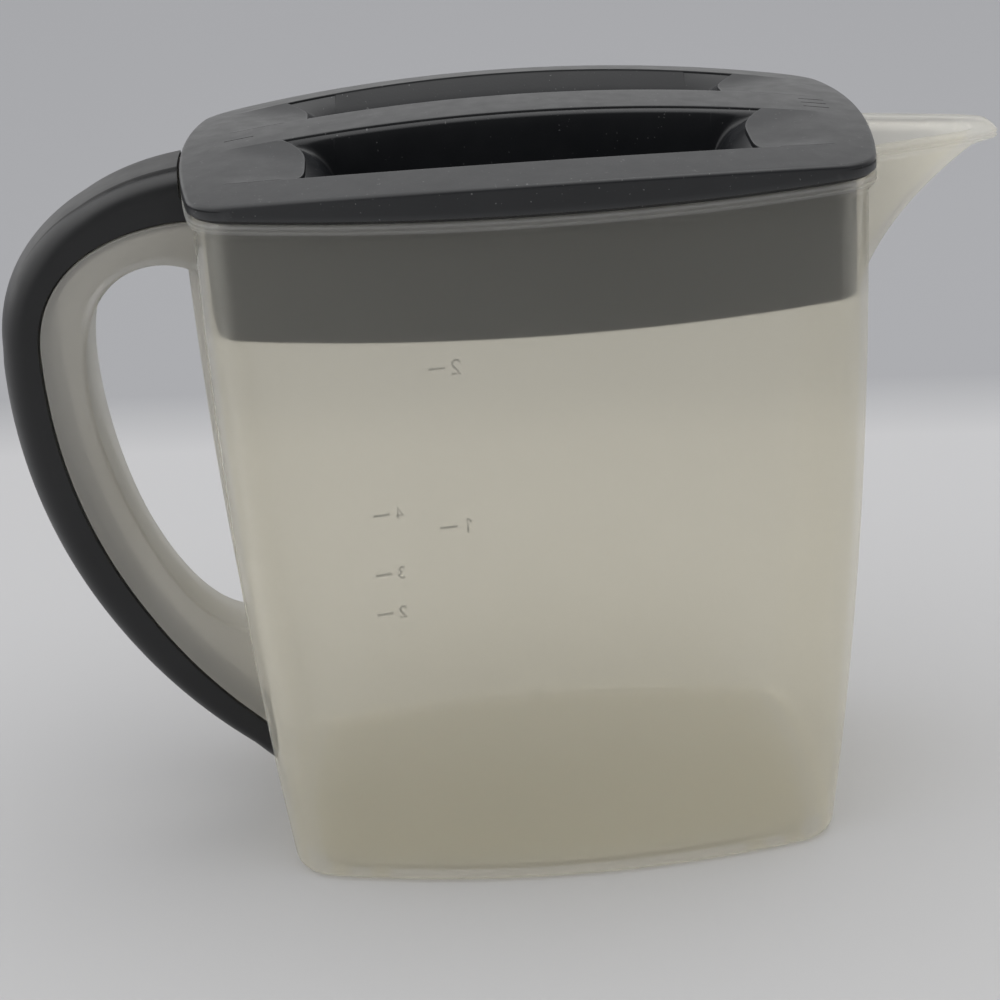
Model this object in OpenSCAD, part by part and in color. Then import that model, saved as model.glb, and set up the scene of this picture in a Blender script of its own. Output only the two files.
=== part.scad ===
// Iced tea pitcher: a bowed translucent jug with a spout and a channel handle,
// a dark cover pressed into the handle channel, and a lift-off lid with a deep skirt.
// Millimetres, +Z up, +X towards the spout. The origin is the centre of the foot.

/* [Pitcher body] */
// Height of the rim above the table
rim_height = 187; // [170:1:205]
// Length of the body at the rim, over the end walls
rim_length = 179; // [170:1:190]
// Depth of the body at the rim, over the side walls
rim_depth = 140; // [130:1:150]
// Length of the body at the foot
base_length = 155; // [145:1:165]
// Depth of the body at the foot
base_depth = 126; // [118:1:134]
// Bow radius of the two long sides, seen from above
side_bow_radius = 228; // [200:1:300]
// Bow radius of the two ends, seen from above
end_bow_radius = 297; // [240:1:400]
// Radius of the upright corners
corner_radius = 13.5; // [10:0.5:18]
// How strongly the end walls curve in towards the foot, 1 is straight
end_curve = 2.2; // [1:0.1:3]
// How strongly the long walls curve in towards the foot, 1 is straight
side_curve = 1.5; // [1:0.1:3]
// Thickness of the moulded wall
wall = 2.2; // [1.6:0.1:3]
// Thickness of the floor above the foot recess
floor_thickness = 2.4; // [1.8:0.1:4]
// Outside radius where the wall turns into the foot
base_edge_radius = 3; // [1.5:0.5:4]
// Inside radius between the wall and the floor
floor_fillet = 6; // [3:0.5:9]

/* [Foot and rim] */
// Height of the foot ring
foot_height = 1.2; // [0.8:0.1:2]
// Width of the foot ring
foot_width = 5; // [4:0.5:8]
// Width of each drain notch in the foot ring
foot_notch = 5; // [3:0.5:7]
// Height of the bead round the rim
bead_height = 2.4; // [1.8:0.1:4]
// How far the bead stands out from the wall
bead_reach = 2.1; // [1:0.1:3]

/* [Spout] */
// Reach of the spout beyond the end wall, at the rim
spout_reach = 39; // [32:0.5:46]
// Height of the spout from its root to the rim
spout_height = 57; // [45:1:70]
// Half width of the spout's mouth at the wall
spout_half_width = 24; // [20:0.5:28]
// Share of the half width that the rounded channel keeps at the rim
spout_round = 0.4; // [0.3:0.02:0.44]
// How far the lip at the spout's tip stands out beyond the bead
spout_lip = 1.8; // [1:0.1:4]

/* [Handle] */
// Drop from the rim to the top of the channel, where it leaves the body
handle_drop = 9.2; // [6:0.2:16]
// Height of the lower end of the channel where it meets the body
handle_foot = 28.3; // [24:0.1:36]
// Height at which the handle stands out furthest
handle_knuckle = 143.9; // [136:0.1:150]
// Reach of the handle channel beyond the rim's end wall
handle_reach = 43.4; // [38:0.1:50]
// Width of the handle across the body, from its top down to the knuckle
handle_width = 32; // [28:0.5:36]
// Width of the handle below the hand hold
handle_foot_width = 20; // [16:0.5:26]
// Depth of the channel section at the knuckle
channel_depth = 11.7; // [10:0.1:15]
// Thickness of the channel's two side walls
channel_wall = 2.4; // [1.8:0.1:3]
// Thickness of the channel's inner wall, round the finger opening
channel_back = 2.6; // [2:0.1:4]
// Top of the finger opening, below the top of the channel
opening_drop = 8; // [6:0.1:12]
// Height at which the finger opening reaches out furthest
opening_knuckle = 135.5; // [128:0.5:142]
// Height of the lower end of the finger opening
opening_foot = 58.1; // [54:0.1:66]
// Width of the pad on the body behind the finger opening
pad_width = 22; // [14:1:26]
// How far that pad stands out at its top
pad_rise = 2.4; // [1:0.1:3]

/* [Grip cover] */
// Height of the cover above the channel along the hand hold
grip_rise = 11.6; // [9:0.1:15]
// Height of the cover above the channel at its top end
grip_end_rise = 14.2; // [10:0.1:16]
// Extra height of the cover below the knuckle
grip_belly = 0.9; // [0:0.1:3]
// Height of the cover's straight sides
grip_side = 4; // [2:0.5:6]
// Height of the cover above the channel at its lower end
grip_foot_rise = 9.6; // [8:0.1:13]
// How square the cover's section is at its top end, 2 is round
grip_square = 6; // [2:0.5:7]
// How square the cover's section is along the hand hold, 2 is round
grip_round = 2.3; // [2:0.1:4]
// Depth of the tongue that plugs into the channel
tongue_depth = 4; // [3:0.5:6]
// Gap under the cover, along the channel's edge
grip_gap = 0.3; // [0.2:0.05:0.5]
// Gap between the cover's ends and the lid, the bead or the wall, and beside the lower tongue
grip_end_gap = 0.8; // [0.5:0.1:1.5]

/* [Lid] */
// Height of the lid's crown above the rim
crown_height = 14; // [12:0.5:17]
// Crown radius along the lid
crown_radius_x = 545; // [480:5:640]
// Crown radius across the lid
crown_radius_y = 480; // [440:5:600]
// Rounding of the lid's top edge
lid_edge_radius = 1; // [0.5:0.1:1.5]
// Thickness of the lid's shell
lid_wall = 2.2; // [1.6:0.1:3]
// Depth of the skirt below the rim
skirt_depth = 32; // [26:1:40]
// Gap between the skirt and the inside of the body
skirt_gap = 0.7; // [0.5:0.1:1.5]
// Width of the grip bar along the middle of the lid
bar_width = 21.2; // [17:0.2:26]
// Width of the lid's side bars, outside the finger wells
side_bar_width = 16; // [13:0.5:19]
// Half length of the finger wells at their floor
well_half_length = 50; // [44:0.5:54]
// Slope of the ramps that lead from the end pads down into the wells
ramp_angle = 34; // [28:1:42]
// Drop of those ramps, down to the roll
ramp_depth = 4.8; // [3:0.2:6]
// How much shorter the ramps are at the side bars than at the middle bar
ramp_narrowing = 0.62; // [0.3:0.02:0.7]
// Radius of the roll from the ramps down to the wells' upright walls
well_roll = 15; // [10:0.5:16]
// Depth of the finger wells below the crown
well_depth = 29; // [24:0.5:31]
// Rounding along the floor of the wells
well_fillet = 4; // [2:0.5:6]
// Depth of the hollow in the end pads, at the well's edge
pad_hollow = 2.8; // [1.5:0.1:3.5]

/* [Strainer and pour opening] */
// Number of strainer slots at the spout end of the skirt
strainer_slots = 9; // [8:1:11]
// Width of each strainer slot
slot_width = 2.4; // [1.6:0.1:2.8]
// Distance between strainer slots
slot_pitch = 4.6; // [4:0.1:5]
// Height of the strainer slots and of the pour opening
slot_height = 16; // [10:0.5:18]
// Width of the pour opening at the handle end of the skirt
pour_width = 36; // [24:1:44]

/* [Hidden] */

// Facets along a half side, a corner, a plain half end and the half end that carries the spout
side_steps = 6;
corner_steps = 4;
end_steps = 3;
mouth_steps = 14;
mouth_bunching = 1.7;
// Facets up the wall below the spout and along it
lower_steps = 5;
spout_steps = 11;
// Sizes of the rings over the lid's crown, and the spread of the sections along a well
crown_sizes = [0.75, 0.45, 0.15];
well_spread = 0.1;
// Facets along each half of the handle's curves, across the grip's crown and round the wells' rolls
path_steps = 12;
crown_steps = 10;
roll_steps = 6;
small_fn = 16;
wide_fn = 120;
// Degrees in a half turn and a quarter turn, and the steps round a small rounded edge:
// over the lid's edge, along a well's floor, and up an edge as far as the wall that follows it
half_turn = 180;
quarter_turn = 90;
lid_edge_angles = [0, 45, 90];
well_fillet_angles = [0, 30, 60, 90];
lower_edge_angles = [0, 30, 60];
// Overrun of cuts, and the thickness of a slice that only guides a hull
overlap = 1;
slice = 0.05;

rim_a = rim_length / 2;
rim_b = rim_depth / 2;
base_a = base_length / 2;
base_b = base_depth / 2;
spout_foot = rim_height - spout_height;
inner_floor = foot_height + floor_thickness;
bead_foot = rim_height - bead_height - bead_reach;
skirt_inset = wall + skirt_gap;
hollow_inset = skirt_inset + lid_wall;
skirt_bottom = rim_height - skirt_depth;
crown_top = rim_height + crown_height;
well_reach = well_half_length + well_roll * (1 - sin(ramp_angle)) + ramp_depth / tan(ramp_angle);
handle_top = rim_height - handle_drop;
opening_top = handle_top - opening_drop;

// How the spout's width grows with height, from its root to the rim
spout_flare = 0.55;
// Share of a wall inset that the spout's half width loses, so that its slanting sides keep their thickness
spout_side_share = 1.5;
// Places of the drain notches along the body, either side of the middle
notch_places = [52, 63];

// Pulls of the handle's curves towards their corners
handle_shoulder = 0.51;
handle_drop_pull = 0.68;
handle_sweep_pull = 0.66;
handle_foot_pull = 3.9;
opening_root_drop = 7.7;
opening_root_run = 2;
opening_arch = -2;
opening_shoulder = 4.3;
opening_sweep_pull = 0.39;
opening_foot_run = 20.2;
// Share of the curves below the knuckle over which the handle narrows
handle_narrowing = 0.5;
// Shares of the curves above the knuckle over which the cover's crown sinks and turns round
grip_sinking = 0.4;
grip_rounding = 0.7;

function mix(a, b, t) = a + (b - a) * t;
function smooth(t) = let (s = min(1, max(0, t))) s * s * (3 - 2 * s);

// Half length and half depth of the body's outside at a height
function taper(z, curve) = 1 - pow(1 - min(1, max(0, z / rim_height)), curve);
function half_length(z) = mix(base_a, rim_a, taper(z, end_curve));
function half_depth(z) = mix(base_b, rim_b, taper(z, side_curve));

// Centre of the corner arc that touches the long side's arc and the end's arc from inside
function corner_centre(a, b, rs, re, rc) =
    let (
        side = [0, rs - b],
        end = [a - re, 0],
        v = end - side,
        d = norm(v),
        k = (pow(rs - rc, 2) - pow(re - rc, 2) + d * d) / (2 * d),
        u = v / d
    )
    side + u * k + [-u.y, u.x] * sqrt(pow(rs - rc, 2) - k * k);

function on_arc(c, r, angle) = c + r * [cos(angle), sin(angle)];

// One quarter of the bowed outline, from the middle of the long side to the middle of the end
function quarter(a, b, rs, re, rc, steps, bunching) =
    let (
        side = [0, rs - b],
        end = [a - re, 0],
        c = corner_centre(a, b, rs, re, rc),
        t1 = atan2(c.y - side.y, c.x - side.x),
        t2 = atan2(c.y - end.y, c.x - end.x)
    )
    [
        for (i = [0:side_steps - 1]) on_arc(side, rs, mix(-quarter_turn, t1, i / side_steps)),
        for (i = [0:corner_steps - 1]) on_arc(c, rc, mix(t1, t2, i / corner_steps)),
        for (i = [0:steps]) on_arc(end, re, asin(sin(t2) * pow(1 - i / steps, bunching)))
    ];

function flip(points, sx, sy) = [for (p = points) [p.x * sx, p.y * sy]];
function reversed(points) = [for (i = [len(points) - 1:-1:0]) points[i]];
function tail(points) = [for (i = [1:len(points) - 1]) points[i]];
function inner(points) = [for (i = [1:len(points) - 2]) points[i]];

// Closed bowed outline of half length a and half depth b, inset all round
function outline(a, b, inset, steps, bunching) =
    let (
        rs = side_bow_radius - inset,
        re = end_bow_radius - inset,
        rc = max(2, corner_radius - inset),
        mouth = quarter(a - inset, b - inset, rs, re, rc, steps, bunching),
        plain = quarter(a - inset, b - inset, rs, re, rc, end_steps, 1)
    )
    concat(
        mouth,
        tail(reversed(flip(mouth, 1, -1))),
        tail(flip(plain, -1, -1)),
        inner(reversed(flip(plain, -1, 1)))
    );

// Outward push of the +X wall that makes the spout, for a surface inset from the outside
function spout_push(y, z, inset) =
    let (
        u = max(0, (z - spout_foot) / spout_height),
        slope = 2 * spout_reach * u / spout_height,
        lip = spout_lip * max(0, -inset) / bead_reach,
        reach = spout_reach * u * u + lip - max(0, inset) * (sqrt(1 + slope * slope) - 1),
        w = spout_half_width * pow(u, spout_flare) - inset * (inset > 0 ? spout_side_share : 1),
        round = spout_round * u
    )
    u == 0 || w <= 0 || reach <= 0 ? 0 : reach * (1 - smooth((abs(y) / w - round) / (1 - round)));

// Rings of the body at a height: without the spout, and with it
function plain_ring(z, inset, steps = end_steps, bunching = 1) =
    [for (p = outline(half_length(z), half_depth(z), inset, steps, bunching)) [p.x, p.y, z]];
function jug_ring(z, inset) =
    let (spout_z = min(z, rim_height - bead_height))
    [for (p = plain_ring(z, inset, mouth_steps, mouth_bunching))
        p.x > 0 ? [p.x + spout_push(p.y, spout_z, inset), p.y, z] : p];

function centre_of(ring) = [for (k = [0:2]) [for (p = ring) p[k]] * [for (p = ring) 1] / len(ring)];

// Closed skin over a stack of rings with the same number of points, fanned shut at both ends
module skin(rings) {
    n = len(rings[0]);
    m = len(rings);
    polyhedron(
        concat([for (r = rings) each r], [centre_of(rings[0]), centre_of(rings[m - 1])]),
        concat(
            [for (j = [0:m - 2], i = [0:n - 1]) [j * n + i, (j + 1) * n + i, (j + 1) * n + (i + 1) % n]],
            [for (j = [0:m - 2], i = [0:n - 1]) [j * n + i, (j + 1) * n + (i + 1) % n, j * n + (i + 1) % n]],
            [for (i = [0:n - 1]) [m * n, i, (i + 1) % n]],
            [for (i = [0:n - 1]) [m * n + 1, (m - 1) * n + (i + 1) % n, (m - 1) * n + i]]
        )
    );
}

// Rings of a rounded lower edge of the given radius, from its flat upwards
function edge_rings(z, radius, inset) =
    [for (t = lower_edge_angles) jug_ring(z + radius * (1 - cos(t)), inset + radius * (1 - sin(t)))];

// Heights of the rings up a wall: wide steps below the spout, close steps along it
function wall_heights(from) =
    concat(
        [for (i = [0:lower_steps - 1]) mix(from, spout_foot, i / lower_steps)],
        [for (i = [0:spout_steps]) mix(spout_foot, bead_foot, i / spout_steps)]
    );

module jug_outside() {
    skin(concat(
        edge_rings(0, base_edge_radius, 0),
        [for (z = wall_heights(base_edge_radius)) jug_ring(z, 0)],
        [jug_ring(rim_height - bead_height, -bead_reach), jug_ring(rim_height, -bead_reach)]
    ));
}

module jug_inside() {
    skin(concat(
        edge_rings(inner_floor, floor_fillet, wall),
        [for (z = wall_heights(inner_floor + floor_fillet)) jug_ring(z, wall)],
        [jug_ring(rim_height, wall), jug_ring(rim_height + overlap, wall)]
    ));
}

module foot_recess() {
    inset = base_edge_radius + foot_width;
    skin([plain_ring(-overlap, inset), plain_ring(foot_height, inset)]);
    for (place = notch_places, sx = [-1, 1], sy = [-1, 1])
        hull()
            for (y = [base_b - inset - overlap, base_b])
                translate([sx * place, sy * (y - place * place / (2 * side_bow_radius)), 0])
                    cylinder(d = foot_notch, h = foot_height, center = true, $fn = small_fn);
}

// Curves of the handle, as points in the XZ plane
function bezier(p, t) =
    pow(1 - t, 3) * p[0] + 3 * t * pow(1 - t, 2) * p[1] + 3 * t * t * (1 - t) * p[2] + pow(t, 3) * p[3];
function two_beziers(p, q) =
    concat(
        [for (i = [0:path_steps - 1]) bezier(p, i / path_steps)],
        [for (i = [0:path_steps]) bezier(q, i / path_steps)]
    );

// Outer edge of the channel, which the grip cover sits on, from the top down
function channel_edge() =
    let (
        out = -rim_a - handle_reach,
        foot = -half_length(handle_foot)
    )
    two_beziers(
        [
            [-half_length(handle_top) + wall / 2, handle_top],
            [-rim_a - handle_shoulder * handle_reach, handle_top],
            [out, mix(handle_knuckle, handle_top, handle_drop_pull)],
            [out, handle_knuckle]
        ],
        [
            [out, handle_knuckle],
            [out, mix(handle_knuckle, handle_foot, handle_sweep_pull)],
            [foot - handle_foot_pull, handle_foot + handle_foot_pull],
            [foot + wall / 2, handle_foot - wall / 2]
        ]
    );

// Edge of the finger opening, from the top down
function opening_edge() =
    let (
        out = -rim_a - handle_reach + channel_depth,
        root = -half_length(opening_top) + wall / 2,
        foot = -half_length(opening_foot) + wall / 2
    )
    two_beziers(
        [
            [root, opening_top - opening_root_drop],
            [root - opening_root_run, opening_top + opening_arch],
            [out, opening_top + opening_shoulder],
            [out, opening_knuckle]
        ],
        [
            [out, opening_knuckle],
            [out, mix(opening_knuckle, opening_foot, opening_sweep_pull)],
            [foot - opening_foot_run, opening_foot],
            [foot, opening_foot]
        ]
    );

path = channel_edge();
opening = opening_edge();

// Half width of the handle at a step of its curves
function handle_half(i) =
    mix(handle_width, handle_foot_width, smooth((i / path_steps - 1) / handle_narrowing)) / 2;

// Section of the handle at a step, from the finger opening out to the channel's edge
function handle_ring(i, back, side, overrun) =
    let (
        run = (path[i] - opening[i]) / norm(path[i] - opening[i]),
        near = opening[i] + run * back,
        far = path[i] + path_out(i) * overrun,
        half = handle_half(i) - side
    )
    [[near.x, -half, near.y], [far.x, -half, far.y], [far.x, half, far.y], [near.x, half, near.y]];

// U-shaped handle channel, open to the outside
module handle_channel() {
    steps = [0:len(path) - 1];
    difference() {
        skin([for (i = steps) handle_ring(i, 0, 0, 0)]);
        skin([for (i = steps) handle_ring(i, channel_back, channel_wall, overlap)]);
    }
}

// Pad on the end wall behind the finger opening, fading out downwards
module handle_pad() {
    top = opening_top - opening_root_drop + channel_back;
    heights = [for (i = [0:path_steps]) mix(opening_foot - channel_back, top, i / path_steps)];
    rotate([90, 0, 0])
        linear_extrude(pad_width, center = true)
            polygon(concat(
                [for (z = heights)
                    [-half_length(z) - pad_rise * (z - heights[0]) / (top - heights[0]), z]],
                [for (z = reversed(heights)) [-half_length(z) + wall / 2, z]]
            ));
}

module pitcher_body() {
    color("#c6c4b8", 0.7)
        difference() {
            union() {
                jug_outside();
                handle_channel();
                handle_pad();
            }
            jug_inside();
            foot_recess();
        }
}

// Direction and outward normal of the channel's edge at a step
function path_run(i) =
    let (d = path[min(i + 1, len(path) - 1)] - path[max(i - 1, 0)])
    d / norm(d);
function path_out(i) = let (d = path_run(i)) [d.y, -d.x];

// Section of the grip cover: straight sides under a crown that is squarer near the lid
function grip_section(i) =
    let (
        half = handle_half(i),
        above = min(1, i / path_steps),
        below = max(0, i / path_steps - 1),
        hold = mix(grip_end_rise, grip_rise, min(1, above / grip_sinking)),
        belly = grip_belly * sin(half_turn * sqrt(below)),
        rise = mix(hold, grip_foot_rise, smooth(below)) + belly - grip_side,
        power = 2 / mix(grip_square, grip_round, smooth(above / grip_rounding))
    )
    concat(
        [[-half, grip_gap]],
        [for (k = [0:crown_steps])
            let (t = half_turn * k / crown_steps)
            [
                -half * sign(cos(t)) * pow(abs(cos(t)), power),
                grip_side + rise * pow(sin(t), power)
            ]],
        [[half, grip_gap]]
    );
function grip_ring(i, overrun = 0) =
    let (
        p = path[i] + path_run(i) * overrun,
        n = path_out(i)
    )
    [for (s = grip_section(i)) [p.x + n.x * s.y, s.x, p.y + n.y * s.y]];

// One slice of the tongue under the cover, square to the channel edge
module tongue_slice(i) {
    run = path_run(i);
    gap = i > path_steps ? grip_end_gap : 0;
    width = 2 * (handle_half(i) - channel_wall - gap);
    translate([path[i].x, 0, path[i].y])
        rotate([0, -atan2(run.y, run.x), 0])
            translate([-slice / 2, -width / 2, -grip_side / 2])
                cube([slice, width, tongue_depth + grip_side / 2]);
}

// Room that the jug, its bead and the lid above it take up, with a gap all round
module jug_room(gap) {
    skin(concat(
        [for (z = wall_heights(0)) plain_ring(z, -gap)],
        [
            plain_ring(rim_height - bead_height, -bead_reach - gap),
            plain_ring(crown_top + crown_height, -bead_reach - gap)
        ]
    ));
}

module handle_grip() {
    color("#2a2c30")
        difference() {
            union() {
                skin(concat(
                    [for (i = [0:len(path) - 1]) grip_ring(i)],
                    [grip_ring(len(path) - 1, grip_rise + wall)]
                ));
                for (i = [0:len(path) - 2])
                    hull() {
                        tongue_slice(i);
                        tongue_slice(i + 1);
                    }
            }
            jug_room(grip_end_gap);
        }
}

// Top surface of the lid
function crown(x, y) = crown_top - x * x / (2 * crown_radius_x) - y * y / (2 * crown_radius_y);
function crown_ring(inset, drop, size = 1) =
    [for (p = outline(rim_a, rim_b, inset, end_steps, 1))
        [p.x * size, p.y * size, crown(p.x * size, p.y * size) - drop]];
function crown_rings(inset, drop) = [for (size = crown_sizes) crown_ring(inset, drop, size)];

module lid_solid() {
    skin(concat(
        [[for (p = outline(rim_a, rim_b, -bead_reach, end_steps, 1)) [p.x, p.y, rim_height]]],
        [for (t = lid_edge_angles)
            crown_ring(lid_edge_radius * (1 - cos(t)) - bead_reach, lid_edge_radius * (1 - sin(t)))],
        crown_rings(lid_edge_radius - bead_reach, 0)
    ));
    skin([for (z = [skirt_bottom, mix(skirt_bottom, rim_height, 0.5), rim_height, rim_height + overlap])
        plain_ring(z, skirt_inset)]);
}

module lid_hollow() {
    difference() {
        skin(concat(
            [for (z = [skirt_bottom - overlap, mix(skirt_bottom, rim_height, 0.5), rim_height])
                plain_ring(z, hollow_inset)],
            [crown_ring(hollow_inset, lid_wall)],
            crown_rings(hollow_inset, lid_wall)
        ));
        pad_hollows(lid_wall);
    }
}

// Outer edge of a finger well: the lid's edge, set in by the side bar
function well_edge(x) =
    let (r = side_bow_radius + bead_reach - side_bar_width)
    sqrt(r * r - x * x) - r + rim_b + bead_reach - side_bar_width;

// Half of a well's upright profile: rounded floor, straight wall, a roll, then a ramp out to the end pad
// that runs on above the crown
function well_half_profile(grow) =
    let (
        roll_x = well_half_length + well_roll,
        roll_z = crown(well_reach, 0) - ramp_depth - well_roll * cos(ramp_angle),
        roll = well_roll - grow,
        roll_turn = quarter_turn - ramp_angle,
        ramp_foot = on_arc([roll_x, roll_z], roll, half_turn - roll_turn),
        ramp_rise = crown_top + overlap - ramp_foot.y,
        fillet = well_fillet + grow,
        fillet_x = well_half_length - well_fillet,
        fillet_z = crown_top - well_depth + well_fillet
    )
    concat(
        [for (t = well_fillet_angles) on_arc([fillet_x, fillet_z], fillet, t - quarter_turn)],
        [for (k = [0:roll_steps]) on_arc([roll_x, roll_z], roll, half_turn - roll_turn * k / roll_steps)],
        [ramp_foot + ramp_rise * [1 / tan(ramp_angle), 1]]
    );

// Place along the lid of a profile point: the ramps draw in towards the side bars
function ramp_place(x, y) =
    let (
        bar = bar_width / 2,
        side = min(1, max(0, (abs(y) - bar) / (well_edge(well_half_length) - bar))),
        beyond = max(0, abs(x) - well_half_length)
    )
    x - sign(x) * beyond * ramp_narrowing * side * side;

// Trough with that profile, sagging with the crown towards the lid's sides
module well_trough(grow) {
    half = well_half_profile(grow);
    profile = concat(half, reversed(flip(half, -1, 1)));
    skin([for (v = [-1:well_spread:1])
        [for (p = profile)
            let (y = -v * rim_b)
            [ramp_place(p.x, y), y, p.y - y * y / (2 * crown_radius_y)]]]);
}

// Plan of the two wells, either side of the middle bar
module well_plans(grow) {
    end = well_reach + well_roll;
    places = [for (i = [-side_steps:side_steps]) end * i / side_steps];
    for (side = [-1, 1])
        polygon(concat(
            [for (x = places) [x, side * (well_edge(x) + grow)]],
            [[end, side * (bar_width / 2 - grow)], [-end, side * (bar_width / 2 - grow)]]
        ));
}

module finger_wells(grow) {
    intersection() {
        well_trough(grow);
        linear_extrude(crown_top + 2 * overlap) well_plans(grow);
    }
}

// Shallow hollows that lead over the end pads into the wells
module pad_hollows(grow) {
    x = mix(well_half_length, well_reach, 0.5);
    half = (well_edge(x) - bar_width / 2) / 2;
    y = bar_width / 2 + half;
    r = (half * half + pad_hollow * pad_hollow) / (2 * pad_hollow);
    for (sx = [-1, 1], sy = [-1, 1])
        translate([sx * (well_half_length + rim_a) / 2, sy * y, crown(x, y) - pad_hollow + r])
            rotate([0, 90, 0])
                cylinder(r = r + grow, h = rim_a - well_half_length, center = true, $fn = wide_fn);
}

// Rounded upright slot through an end of the skirt
module skirt_slot(x, y, width, round) {
    hull()
        for (dy = [-1, 1], dz = [-1, 1])
            translate([
                x,
                y + dy * (width - round) / 2,
                rim_height - skirt_depth / 2 + dz * (slot_height - round) / 2
            ])
                rotate([0, 90, 0])
                    cylinder(d = round, h = 4 * hollow_inset, center = true, $fn = small_fn);
}

module lid() {
    end = rim_a - hollow_inset;
    color("#55575a")
        difference() {
            union() {
                difference() {
                    lid_solid();
                    lid_hollow();
                }
                intersection() {
                    lid_solid();
                    finger_wells(lid_wall);
                }
            }
            finger_wells(0);
            pad_hollows(0);
            for (i = [0:strainer_slots - 1])
                skirt_slot(end, (i - (strainer_slots - 1) / 2) * slot_pitch, slot_width, slot_width);
            skirt_slot(-end, 0, pour_width, slot_height / 2);
        }
}

pitcher_body();
handle_grip();
lid();
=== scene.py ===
"""Looks of the iced tea pitcher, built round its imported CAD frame. Sizes are in millimetres until a
mesh is made."""

import math

import bmesh
import bpy
from mathutils import Matrix, Vector


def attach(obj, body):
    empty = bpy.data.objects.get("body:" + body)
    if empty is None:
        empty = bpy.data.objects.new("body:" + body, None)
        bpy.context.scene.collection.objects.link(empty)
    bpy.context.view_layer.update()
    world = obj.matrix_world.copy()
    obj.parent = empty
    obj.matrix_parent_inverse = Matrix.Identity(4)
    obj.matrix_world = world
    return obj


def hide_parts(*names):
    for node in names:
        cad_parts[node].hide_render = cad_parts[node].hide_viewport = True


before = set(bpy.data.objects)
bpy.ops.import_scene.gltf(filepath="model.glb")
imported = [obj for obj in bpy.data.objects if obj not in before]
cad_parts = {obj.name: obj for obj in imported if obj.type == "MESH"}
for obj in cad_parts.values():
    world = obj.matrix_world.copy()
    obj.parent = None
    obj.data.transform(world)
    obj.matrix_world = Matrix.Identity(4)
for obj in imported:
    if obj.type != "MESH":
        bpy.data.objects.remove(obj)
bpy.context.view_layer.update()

MM = 0.001

# Sizes of the CAD model, with a finer edge to the spout and ramps that bow into the wells
RIM = 187.0
RIM_A, RIM_B = 89.5, 70.0
BASE_A, BASE_B = 77.5, 63.0
SIDE_BOW, END_BOW, CORNER = 228.0, 297.0, 13.5
END_CURVE, SIDE_CURVE = 2.2, 1.5
WALL = 2.2
FLOOR_TOP, FLOOR_FILLET = 3.6, 6.0
FOOT_EDGE, FOOT_HEIGHT, FOOT_WIDTH = 3.0, 1.2, 5.0
BEAD_HEIGHT, BEAD_REACH = 2.4, 2.1
SPOUT_REACH, SPOUT_HEIGHT, SPOUT_HALF, SPOUT_FLARE = 37.9, 57.0, 25.5, 0.55
SPOUT_ROUND, SPOUT_NOSE, SPOUT_BOW, SPOUT_LIP = 0.3, 3.0, 0.15, 2.0
# How much more than the wall's thickness the spout's hollow narrows at its sides
SPOUT_SIDE_SHARE = 1.5
HANDLE_TOP, HANDLE_FOOT, KNUCKLE, HANDLE_OUT = 177.8, 28.3, 143.9, -132.9
HANDLE_HALF, HANDLE_FOOT_HALF = 16.0, 10.0
OPENING_OUT, OPENING_TOP, OPENING_FOOT, OPENING_KNUCKLE = -121.2, 169.8, 58.1, 135.5
CHANNEL_WALL, CHANNEL_BACK = 2.4, 2.6
CROWN_TOP, CROWN_X, CROWN_Y = 201.0, 545.0, 480.0
SKIRT_INSET, SKIRT_BOTTOM, LID_WALL = 2.9, 155.0, 2.2
BAR_HALF, SIDE_BAR = 10.6, 16.0
WELL_HALF, WELL_ROLL, WELL_DEPTH, WELL_FILLET, PAD_HOLLOW = 50.0, 15.0, 29.0, 4.0, 2.8
RAMP_ANGLE, RAMP_DEPTH, RAMP_BOW = 34.0, 4.8, 6.0


def mix(a, b, t):
    return a + (b - a) * t


def smooth(t):
    s = min(1.0, max(0.0, t))
    return s * s * (3 - 2 * s)


def soft_min(a, b, width):
    """The smaller of two heights, with their crease rounded over that width."""
    near = max(width - abs(a - b), 0.0) / width
    return min(a, b) - near * near * width / 4


def soft_max(a, b, width):
    return -soft_min(-a, -b, width)


def steps(count):
    return [i / count for i in range(count + 1)]


# Body outline

# Points on the side, corner and end arcs of a quarter, at the spout's mouth and elsewhere
MOUTH_COUNTS, MOUTH_BUNCHING = (24, 10, 44), 1.7
PLAIN_COUNTS = (24, 10, 20)
# Least radius that the corner of an inset outline keeps
LEAST_CORNER = 2.0


def taper(z, curve):
    return 1 - (1 - min(1.0, max(0.0, z / RIM))) ** curve


def half_length(z):
    return mix(BASE_A, RIM_A, taper(z, END_CURVE))


def half_depth(z):
    return mix(BASE_B, RIM_B, taper(z, SIDE_CURVE))


def arcs(a, b, inset):
    """Side arc, end arc and corner arc of the bowed outline in the +X, -Y quarter, each as its centre
    and radius, and the two angles where they meet."""
    rs, re, rc = SIDE_BOW - inset, END_BOW - inset, max(LEAST_CORNER, CORNER - inset)
    side = Vector((0, rs - b + inset))
    end = Vector((a - inset - re, 0))
    v = end - side
    d = v.length
    k = ((rs - rc) ** 2 - (re - rc) ** 2 + d * d) / (2 * d)
    u = v / d
    c = side + u * k + Vector((-u.y, u.x)) * math.sqrt((rs - rc) ** 2 - k * k)
    t1 = math.atan2(c.y - side.y, c.x - side.x)
    t2 = math.atan2(c.y - end.y, c.x - end.x)
    return (side, rs), (end, re), (c, rc), t1, t2


def on_arc(centre, radius, angle):
    return (centre.x + radius * math.cos(angle), centre.y + radius * math.sin(angle))


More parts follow.
